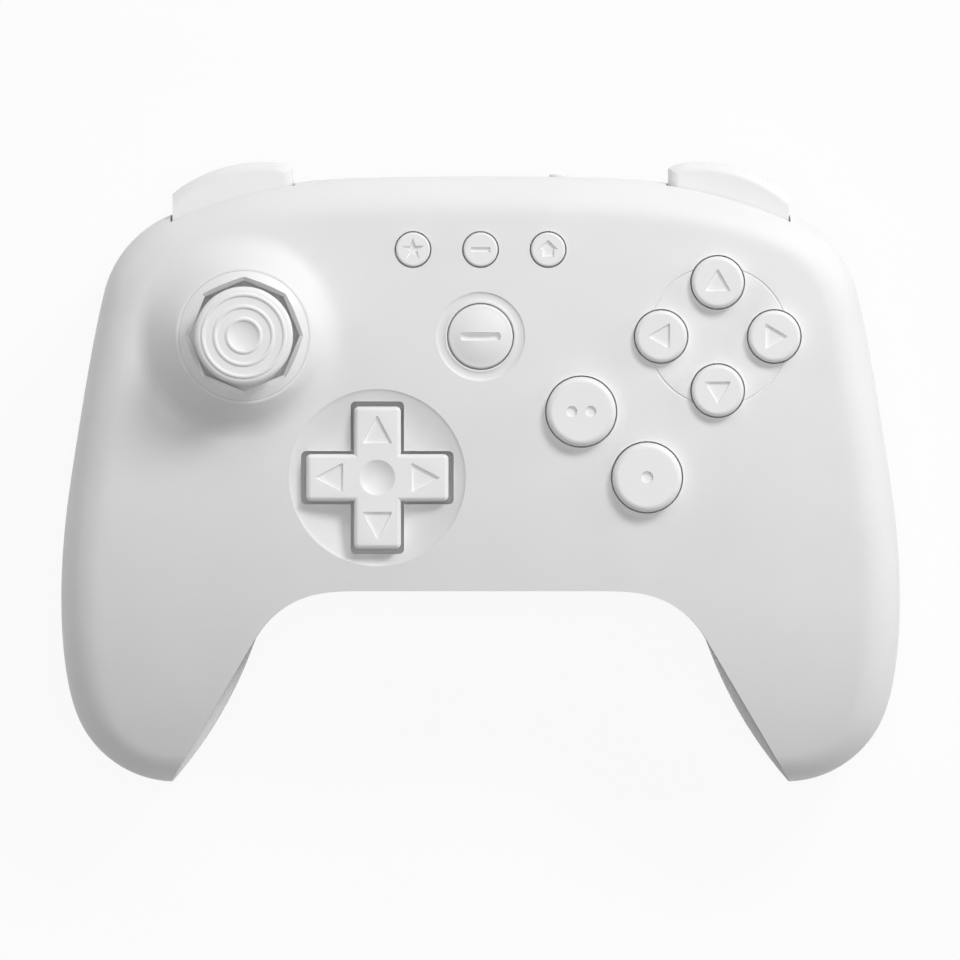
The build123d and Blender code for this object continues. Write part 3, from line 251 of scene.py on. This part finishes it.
def finish_piece(name, bm, body, slot):
    """Turns a bmesh into a piece that rides on a body, with its slot's material."""
    mesh = bpy.data.meshes.new(name)
    bmesh.ops.recalc_face_normals(bm, faces=bm.faces)
    bm.to_mesh(mesh)
    bm.free()
    obj = add_object(name, mesh)
    mesh.materials.append(MATERIALS[slot])
    smooth_by_angle(mesh, SMOOTH_TURNED)
    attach(obj, body)
    return obj


def plan_centre(low, high):
    """Middle of a box, seen from above."""
    return (low.x + high.x) / 2, (low.y + high.y) / 2


def circle(centre, radius, steps):
    turns = [2 * math.pi * step / steps for step in range(steps)]
    return [
        (centre[0] + radius * math.cos(turn), centre[1] + radius * math.sin(turn))
        for turn in turns
    ]


def lathe(profile, centre):
    """Closed turned body: profile points are (radius, height), from the axis round to the axis."""
    bm = bmesh.new()
    rings = []
    for radius, height in profile:
        outline = circle(centre, radius, TURN_STEPS) if radius else [centre]
        rings.append([bm.verts.new((x, y, height)) for x, y in outline])
    for lower, upper in zip(rings, rings[1:]):
        for step in range(TURN_STEPS):
            after = (step + 1) % TURN_STEPS
            if len(lower) == 1:
                bm.faces.new((lower[0], upper[after], upper[step]))
            elif len(upper) == 1:
                bm.faces.new((lower[step], lower[after], upper[0]))
            else:
                bm.faces.new((lower[step], lower[after], upper[after], upper[step]))
    return bm


def engrave(obj, cutter, smooth_angle):
    """Cuts the cutter out of a piece and keeps the result as its mesh."""
    mesh = bpy.data.meshes.new("cutter")
    cutter.to_mesh(mesh)
    cutter.free()
    tool = add_object("cutter", mesh)
    cut = obj.modifiers.new("cut", "BOOLEAN")
    cut.operation = "DIFFERENCE"
    cut.solver = "EXACT"
    cut.object = tool
    bpy.context.view_layer.update()
    graph = bpy.context.evaluated_depsgraph_get()
    result = bpy.data.meshes.new_from_object(obj.evaluated_get(graph))
    obj.modifiers.clear()
    old = obj.data
    name = old.name
    obj.data = result
    bpy.data.meshes.remove(old)
    result.name = name
    bpy.data.objects.remove(tool)
    bpy.data.meshes.remove(mesh)
    smooth_by_angle(result, smooth_angle)


def engraved_copy(node, body, cutter, smooth_angle):
    """A welded copy of a solid with the cutter taken out, in the solid's place."""
    mesh = frame["nodes"][node].data.copy()
    mesh.name = node + "_top"
    bm = bmesh.new()
    bm.from_mesh(mesh)
    bmesh.ops.remove_doubles(bm, verts=bm.verts, dist=WELD)
    bm.to_mesh(mesh)
    bm.free()
    obj = add_object(node + "_top", mesh)
    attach(obj, body)
    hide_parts(node)
    engrave(obj, cutter, smooth_angle)


# Signs: outlines drawn round a centre, and the cutter made of them

SIGN_DEPTH = 0.5 * MM
SIGN_DRAFT = 0.16 * MM
DOT_STEPS = 48
CORNER_STEPS = 3

ONE_DOT_RADIUS = 1.1 * MM
TWO_DOTS_RADIUS = 1.0 * MM
TWO_DOTS_PLACE = 1.7 * MM
ARROW_TURNS = {"up": 0, "left": 90, "down": 180, "right": 270}
BUTTON_ARROW = {"base": 4.8 * MM, "height": 4.1 * MM, "lift": -1.6 * MM}
PAD_ARROW = {"base": 5.4 * MM, "height": 5.1 * MM, "lift": 6.1 * MM}
ARROW_CORNER = 0.35 * MM
START_BAR = {"width": 7.2 * MM, "height": 1.5 * MM, "corner": 0.6 * MM}
MINUS_BAR = {"width": 3.5 * MM, "height": 0.9 * MM, "corner": 0.1 * MM}
STAR_POINTS = 5
STAR_RADIUS = 2.0 * MM
STAR_WAIST = 0.42
HOUSE_SIZE = 1.75 * MM

# Walls, eaves and ridge of the house, as shares of its size
HOUSE = [
    (-0.62, -0.75), (0.62, -0.75), (0.62, 0.05), (1.0, 0.05),
    (0, 1.0), (-1.0, 0.05), (-0.62, 0.05),
]


def place(points, centre, size=1.0, turn=0.0):
    turned = Matrix.Rotation(math.radians(turn), 2)
    return [tuple(Vector(centre) + turned @ (Vector(point) * size)) for point in points]


def soft_corners(points, radius):
    """Rounds the corners of a polygon with short arcs."""
    out = []
    count = len(points)
    for i in range(count):
        before, here, after = (Vector(points[k % count]) for k in (i - 1, i, i + 1))
        start = here + (before - here).normalized() * radius
        end = here + (after - here).normalized() * radius
        for step in range(CORNER_STEPS + 1):
            t = step / CORNER_STEPS
            out.append(tuple((1 - t) ** 2 * start + 2 * t * (1 - t) * here + t**2 * end))
    return out


def triangle(centre, turn, base, height, lift):
    """Triangle whose tip points along its turn; lift moves it along the same way."""
    points = [(-base / 2, lift), (base / 2, lift), (0, lift + height)]
    return place(soft_corners(points, ARROW_CORNER), centre, turn=turn)


def bar(centre, width, height, corner):
    x, y = width / 2, height / 2
    return place(soft_corners([(-x, -y), (x, -y), (x, y), (-x, y)], corner), centre)


def one_dot(centre):
    return [circle(centre, ONE_DOT_RADIUS, DOT_STEPS)]


def two_dots(centre):
    places = [(centre[0] + x, centre[1]) for x in (-TWO_DOTS_PLACE, TWO_DOTS_PLACE)]
    return [circle(middle, TWO_DOTS_RADIUS, DOT_STEPS) for middle in places]


def arrow(turn):
    return lambda centre: [triangle(centre, turn, **BUTTON_ARROW)]


def long_bar(centre):
    return [bar(centre, **START_BAR)]


def minus(centre):
    return [bar(centre, **MINUS_BAR)]


def star(centre):
    points = []
    for i in range(2 * STAR_POINTS):
        radius = STAR_RADIUS if i % 2 == 0 else STAR_WAIST * STAR_RADIUS
        angle = math.pi / 2 + math.pi * i / STAR_POINTS
        points.append((radius * math.cos(angle), radius * math.sin(angle)))
    return [place(points, centre)]


def house(centre):
    return [place(HOUSE, centre, size=HOUSE_SIZE)]


def grown(outline, middle, amount):
    """The outline with each point moved away from its middle by the amount."""
    moved = []
    for point in outline:
        away = Vector(point) - middle
        moved.append(tuple(middle + away * (1 + amount / away.length)))
    return moved


def prism(outlines, top, depth):
    """Cutter for signs: outlines drawn at the top, narrowed by the draft at its depth."""
    bm = bmesh.new()
    for outline in outlines:
        middle = Vector([sum(axis) / len(outline) for axis in zip(*outline)])
        upper = [bm.verts.new((x, y, top + depth)) for x, y in grown(outline, middle, SIGN_DRAFT)]
        lower = [bm.verts.new((x, y, top - depth)) for x, y in grown(outline, middle, -SIGN_DRAFT)]
        bm.faces.new(upper)
        bm.faces.new(list(reversed(lower)))
        for i in range(len(outline)):
            j = (i + 1) % len(outline)
            bm.faces.new((lower[i], lower[j], upper[j], upper[i]))
    bmesh.ops.recalc_face_normals(bm, faces=bm.faces)
    return bm


# Round buttons: turned caps with a flange, a hollow back and a plunger in its middle

FLANGE_OVER = 1.2 * MM
FLANGE_THICK = 1.0 * MM
CAP_WALL = 1.2 * MM
CAP_ROOF = 1.8 * MM
PLUNGER_RADIUS = 1.5 * MM
RIM_STEPS = 8

# Outer band of the flange, where its underside is looked for
FLANGE_BAND = 0.3 * FLANGE_OVER

# Narrow flat strip inside a rim, which keeps the shading of the flat top even
RIM_STRIP = 0.06 * MM

LARGE_RIM = 1.1 * MM
ARROW_RIM = 0.8 * MM
START_RIM = 0.5 * MM
START_CROWN = 0.9 * MM
MENU_RIM = 0.4 * MM


def rounded_rim(radius, top, rim, crown):
    """Profile of a round cap from its side wall over the rim to the middle."""
    points = []
    flat = radius - rim
    for step in range(RIM_STEPS + 1):
        angle = math.pi / 2 * step / RIM_STEPS
        height = top - rim - crown + rim * math.sin(angle)
        points.append((flat + rim * math.cos(angle), height))
    if crown:
        for step in range(1, RIM_STEPS):
            share = 1 - step / RIM_STEPS
            points.append((flat * share, top - crown * share**2))
    else:
        points.append((flat - RIM_STRIP, top))
    return points + [(0, top)]


def flange_bottom(node):
    """Height of the flange's underside: the lowest point where the solid is widest."""
    low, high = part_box(node)
    centre = Vector(plan_centre(low, high))
    reach = (high.x - low.x) / 2 - FLANGE_BAND
    points = [vertex.co for vertex in frame["nodes"][node].data.vertices]
    return min(point.z for point in points if (point.xy - centre).length > reach)


def button(node, rim, signs, crown=0.0):
    """Cap in the solid's place, engraved with its signs. It rides on the body of the same name."""
    low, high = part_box(node)
    centre = plan_centre(low, high)
    radius = (high.x - low.x) / 2 - FLANGE_OVER
    foot = flange_bottom(node)
    roof = high.z - crown - CAP_ROOF
    profile = [(0, low.z), (PLUNGER_RADIUS, low.z), (PLUNGER_RADIUS, roof)]
    profile += [(radius - CAP_WALL, roof), (radius - CAP_WALL, foot)]
    profile += [(radius + FLANGE_OVER, foot), (radius + FLANGE_OVER, foot + FLANGE_THICK)]
    profile += [(radius, foot + FLANGE_THICK)]
    profile += rounded_rim(radius, high.z, rim, crown)
    piece = finish_piece(node + "_cap", lathe(profile, centre), node, "button_plastic")
    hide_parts(node)
    # The top of a crowned cap falls away under its sign, so the sign starts lower and goes deeper
    sink = crown / 3
    engrave(piece, prism(signs(centre), high.z - sink, SIGN_DEPTH + sink), SMOOTH_CAP)


button("first_button", LARGE_RIM, one_dot)
button("second_button", LARGE_RIM, two_dots)
for arrow_side, arrow_turn in ARROW_TURNS.items():
    button(arrow_side + "_button", ARROW_RIM, arrow(arrow_turn))
button("start_button", START_RIM, long_bar, crown=START_CROWN)
button("star_button", MENU_RIM, star)
button("minus_button", MENU_RIM, minus)
button("home_button", MENU_RIM, house)


# Direction pad: a copy of the solid with its signs cut in

pad_low, pad_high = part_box("dpad")
pad_centre = plan_centre(pad_low, pad_high)
pad_signs = [triangle(pad_centre, turn, **PAD_ARROW) for turn in ARROW_TURNS.values()]
pad_cutter = prism(pad_signs, pad_high.z, SIGN_DEPTH)
engraved_copy("dpad", "dpad", pad_cutter, SMOOTH_PAD)


# Rubber mats: a sheet, and under each button or pad arm a dome

# Radius of a dome's foot, as a share of its cap's
DOME_SHARE = 0.62
DOME_WALL = 0.7 * MM
DOME_TOP = PLUNGER_RADIUS + DOME_WALL
DOME_GAP = 0.02 * MM
SHEET = 0.8 * MM

# Domes under the pad: distance from its middle, and how far its arm goes down there
PAD_DOME_PLACE = 9.1 * MM
PAD_DOME_DIP = 0.7 * MM
PAD_DOME_RADIUS = 2.8 * MM
PAD_DOME_GAP = 0.16 * MM

# Arm, its place across and along, and the joint that presses it
PAD_ARMS = [
    ("right", 1, 0, "dpad_rock_y"),
    ("left", -1, 0, "dpad_rock_y"),
    ("up", 0, 1, "dpad_rock_x"),
    ("down", 0, -1, "dpad_rock_x"),
]
ARROW_BUTTONS = [side + "_button" for side in ARROW_TURNS]
FACE_BUTTONS = ["first_button", "second_button", *ARROW_BUTTONS]
MENU_BUTTONS = ["start_button", "star_button", "minus_button", "home_button"]

# Length of the cutters for the domes' holes, in heights of the mat
HOLE_LENGTH = 4

travel_of = {joint["name"]: joint["range_m"][1] for joint in frame["joints"] if "range_m" in joint}


def dome(mat, gap, name, centre, radius):
    """Hollow rubber cone on its ring of the sheet, from the board up to what presses it."""
    low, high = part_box(mat)
    foot, top = low.z, high.z - gap
    ring = max(radius, DOME_TOP)
    shoulder = radius + (DOME_TOP - radius) * SHEET / (top - foot)
    inside = [(0, top - DOME_WALL), (PLUNGER_RADIUS, top - DOME_WALL), (radius - DOME_WALL, foot)]
    outside = [(ring, foot), (ring, foot + SHEET), (shoulder, foot + SHEET)]
    outside += [(DOME_TOP, top), (0, top)]
    piece = finish_piece(name + "_dome", lathe(inside + outside, centre), "root", "rubber")
    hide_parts(mat)
    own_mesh(piece)


def rubber_mat(mat, gap, domes):
    """The domes of a mat, and its sheet: a copy of the solid with the domes cut out."""
    low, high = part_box(mat)
    holes = bmesh.new()
    for name, centre, radius, joint, travel in domes:
        dome(mat, gap, name, centre, radius)
        hole = max(radius, DOME_TOP) + DOME_GAP
        bmesh.ops.create_cone(
            holes,
            cap_ends=True,
            segments=TURN_STEPS,
            radius1=hole,
            radius2=hole,
            depth=HOLE_LENGTH * (high.z - low.z),
            matrix=Matrix.Translation((*centre, low.z)),
        )
    engraved_copy(mat, "root", holes, SMOOTH_TURNED)


def button_dome(node):
    """What dome() needs to know of the dome under a button."""
    low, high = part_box(node)
    radius = DOME_SHARE * ((high.x - low.x) / 2 - FLANGE_OVER)
    return node, plan_centre(low, high), radius, node + "_press", travel_of[node + "_press"]


def pad_dome(side, x, y, joint):
    """What dome() needs to know of the dome under an arm of the pad."""
    centre = (pad_centre[0] + x * PAD_DOME_PLACE, pad_centre[1] + y * PAD_DOME_PLACE)
    return "dpad_" + side, centre, PAD_DOME_RADIUS, joint, PAD_DOME_DIP


rubber_mat("face_rubber", DOME_GAP, [button_dome(node) for node in FACE_BUTTONS])
rubber_mat("menu_rubber", DOME_GAP, [button_dome(node) for node in MENU_BUTTONS])
rubber_mat("dpad_rubber", PAD_DOME_GAP, [pad_dome(*arm) for arm in PAD_ARMS])


# Front shell: a copy of the solid with the rims of its three round hollows cut sharper

# How far the cutters reach over the skin of the face
CUTTER_OVER = 1.0 * MM

# The skin lies higher than this over the shell's foot, and a ray that falls lower met a hole
SKIN_OVER_FOOT = 20.0 * MM

COVE_STEPS = 8
BOWL_STEPS = 16


def cove(width, depth):
    """Section of a soft round channel."""
    arc = []
    for step in range(COVE_STEPS + 1):
        turn = math.pi * step / COVE_STEPS
        arc.append((-width / 2 * math.cos(turn), -depth * math.sin(turn)))
    return [(-width / 2, CUTTER_OVER)] + arc + [(width / 2, CUTTER_OVER)]


def bowl(lip, drop, reach, depth):
    """Section of a dish: a narrow steep lip, then a slope that levels out as it reaches inwards."""
    slope = []
    for step in range(BOWL_STEPS + 1):
        share = step / BOWL_STEPS
        slope.append((-lip - reach * share, -drop - depth * (1 - (1 - share) ** 2)))
    return [(0, CUTTER_OVER), (0, 0)] + slope + [(-lip - reach, CUTTER_OVER)]


# Rims on the face: nodes they stand round, radius and section
RIMS = [
    (ARROW_BUTTONS, 12.45 * MM, cove(width=0.5 * MM, depth=0.22 * MM)),
    (["start_button"], 7.1 * MM, cove(width=1.7 * MM, depth=0.3 * MM)),
    (["dpad"], 15.8 * MM, bowl(lip=0.2 * MM, drop=0.16 * MM, reach=8.0 * MM, depth=1.2 * MM)),
]


def middle_of(nodes):
    low = Vector([min(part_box(node)[0][axis] for node in nodes) for axis in range(3)])
    high = Vector([max(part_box(node)[1][axis] for node in nodes) for axis in range(3)])
    return (low + high) / 2


def surface_height(tree, x, y, low, high):
    """Height of the shell's skin under a point, or None over a hole."""
    hit = tree.ray_cast(Vector((x, y, high)), Vector((0, 0, -1)))[0]
    return hit.z if hit and hit.z > low else None


def ring_heights(tree, points, low, high):
    """Heights of the skin at points round a ring, carried evenly across the holes it passes."""
    count = len(points)
    found = [surface_height(tree, x, y, low, high) for x, y in points]
    known = [i for i, height in enumerate(found) if height is not None]
    heights = []
    for i in range(count):
        before = max((k for k in known if k <= i), default=known[-1] - count)
        after = min((k for k in known if k >= i), default=known[0] + count)
        share = (i - before) / (after - before) if after > before else 0
        heights.append((1 - share) * found[before % count] + share * found[after % count])
    return heights


def ring_cutter(bm, tree, centre, radius, section, low, high):
    """Ring that follows the skin all round. Its section is (outwards, up) from the radius."""
    points = circle(centre, radius, TURN_STEPS)
    rings = []
    for (x, y), height in zip(points, ring_heights(tree, points, low, high)):
        way = Vector((x - centre[0], y - centre[1], 0)).normalized()
        spots = [(x + way.x * out, y + way.y * out, height + up) for out, up in section]
        rings.append([bm.verts.new(spot) for spot in spots])
    for ring, after in zip(rings, rings[1:] + rings[:1]):
        for i in range(len(section)):
            j = (i + 1) % len(section)
            bm.faces.new((ring[i], ring[j], after[j], after[i]))


def rims_cutter():
    graph = bpy.context.evaluated_depsgraph_get()
    tree = BVHTree.FromObject(frame["nodes"]["front_shell"], graph)
    low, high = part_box("front_shell")
    levels = (low.z + SKIN_OVER_FOOT, high.z + CUTTER_OVER)
    cutter = bmesh.new()
    for nodes, radius, section in RIMS:
        ring_cutter(cutter, tree, middle_of(nodes), radius, section, *levels)
    bmesh.ops.recalc_face_normals(cutter, faces=cutter.faces)
    return cutter


engraved_copy("front_shell", "root", rims_cutter(), SMOOTH_SHELL)


# Camera: a long lens straight above the face, as in the photograph

FACE_LEVEL = 32.0 * MM
FRAME_WIDTH = 171.4 * MM
CAMERA_SHIFT = (-0.1 * MM, -1.4 * MM)
LENS = 1200.0
SENSOR = 36.0
CLIP_NEAR = 0.05
CLIP_FAR = 20.0

camera_data = bpy.data.cameras.new("camera")
camera_data.lens = LENS
camera_data.sensor_width = SENSOR
camera_data.clip_start = CLIP_NEAR
camera_data.clip_end = CLIP_FAR
camera = add_object("camera", camera_data)
camera.location = (*CAMERA_SHIFT, FACE_LEVEL + FRAME_WIDTH * LENS / SENSOR)
bpy.context.scene.camera = camera


# Light: soft round lamps on one dome, the strongest at the upper right

LAMP_DISTANCE = 1.5
LAMP_SIZE = 0.45
LAMPS = {
    "key_lamp": {"azimuth": 50, "elevation": 40, "power": 10.9},
    "upper_lamp": {"azimuth": 80, "elevation": 40, "power": 2.7},
    "overhead_lamp": {"azimuth": 0, "elevation": 90, "power": 4.6},
    "right_rim_lamp": {"azimuth": 20, "elevation": 12, "power": 3.3},
    "left_rim_lamp": {"azimuth": 150, "elevation": 12, "power": 3.0},
    "lower_right_lamp": {"azimuth": 320, "elevation": 35, "power": 1.5},
}

# The world is weak as a light and full white where it is seen
WORLD_LIGHT = 0.14
WORLD_SEEN = 1.0
WORLD_COLOUR = (1, 1, 1, 1)


def dome_lamp(name, azimuth, elevation, power):
    """Lamp aimed at the origin, with its azimuth counted from +X towards +Y."""
    data = bpy.data.lights.new(name, "AREA")
    data.shape = "DISK"
    data.size = LAMP_SIZE
    data.energy = power
    lamp = add_object(name, data)
    around, up = math.radians(azimuth), math.radians(elevation)
    way = Vector((math.cos(around) * math.cos(up), math.sin(around) * math.cos(up), math.sin(up)))
    lamp.location = way * LAMP_DISTANCE
    lamp.rotation_mode = "QUATERNION"
    lamp.rotation_quaternion = (-way).to_track_quat("-Z", "Y")


def seen_directly(tree):
    """1 for camera, glossy and transmission rays, 0 for the rays that light the object."""
    path = tree.nodes.new("ShaderNodeLightPath")
    seen = path.outputs["Is Camera Ray"]
    for ray in ("Is Glossy Ray", "Is Transmission Ray"):
        either = tree.nodes.new("ShaderNodeMath")
        either.operation = "MAXIMUM"
        tree.links.new(seen, either.inputs[0])
        tree.links.new(path.outputs[ray], either.inputs[1])
        seen = either.outputs["Value"]
    return seen


def studio_world():
    world = bpy.data.worlds.new("studio")
    bpy.context.scene.world = world
    world.use_nodes = True
    tree = world.node_tree
    tree.nodes.clear()
    mixer = tree.nodes.new("ShaderNodeMixShader")
    tree.links.new(seen_directly(tree), mixer.inputs["Fac"])
    for socket, strength in ((1, WORLD_LIGHT), (2, WORLD_SEEN)):
        shader = tree.nodes.new("ShaderNodeBackground")
        shader.inputs["Color"].default_value = WORLD_COLOUR
        shader.inputs["Strength"].default_value = strength
        tree.links.new(shader.outputs["Background"], mixer.inputs[socket])
    output = tree.nodes.new("ShaderNodeOutputWorld")
    tree.links.new(mixer.outputs["Shader"], output.inputs["Surface"])


for lamp_name, lamp_place in LAMPS.items():
    dome_lamp(lamp_name, **lamp_place)
studio_world()


# Floor: pale, bright where it is seen, and it keeps a faint shadow

FLOOR_HALF = 3.0
FLOOR_GAP = 0.05 * MM
FLOOR_COLOURS = ((0.78, 0.78, 0.78), (0.8, 0.8, 0.8))
FLOOR_ROUGHNESS = 0.9
FLOOR_GLOW = 1.0
FLOOR_GLOW_SHARE = 0.92


def floor_material():
    material, tree, shader = new_material("floor_look")
    shader.inputs["Roughness"].default_value = FLOOR_ROUGHNESS
    grain = noise_node(tree, *FLOOR_GRAIN)
    colour = ramp_node(tree, grain.outputs["Fac"], *FLOOR_COLOURS)
    tree.links.new(colour, shader.inputs["Base Color"])
    glow = tree.nodes.new("ShaderNodeEmission")
    glow.inputs["Strength"].default_value = FLOOR_GLOW
    share = tree.nodes.new("ShaderNodeMath")
    share.operation = "MULTIPLY"
    share.inputs[1].default_value = FLOOR_GLOW_SHARE
    tree.links.new(seen_directly(tree), share.inputs[0])
    both = tree.nodes.new("ShaderNodeMixShader")
    tree.links.new(share.outputs["Value"], both.inputs["Fac"])
    tree.links.new(shader.outputs["BSDF"], both.inputs[1])
    tree.links.new(glow.outputs["Emission"], both.inputs[2])
    tree.links.new(both.outputs["Shader"], tree.nodes["Material Output"].inputs["Surface"])
    return material


def floor():
    bm = bmesh.new()
    bmesh.ops.create_grid(bm, x_segments=2, y_segments=2, size=FLOOR_HALF)
    bmesh.ops.translate(bm, verts=bm.verts, vec=(0, 0, cad_box[0].z - FLOOR_GAP))
    mesh = bpy.data.meshes.new("floor")
    bm.to_mesh(mesh)
    bm.free()
    mesh.materials.append(floor_material())
    obj = add_object("floor", mesh)


floor()
bpy.context.scene.view_settings.view_transform = "Standard"
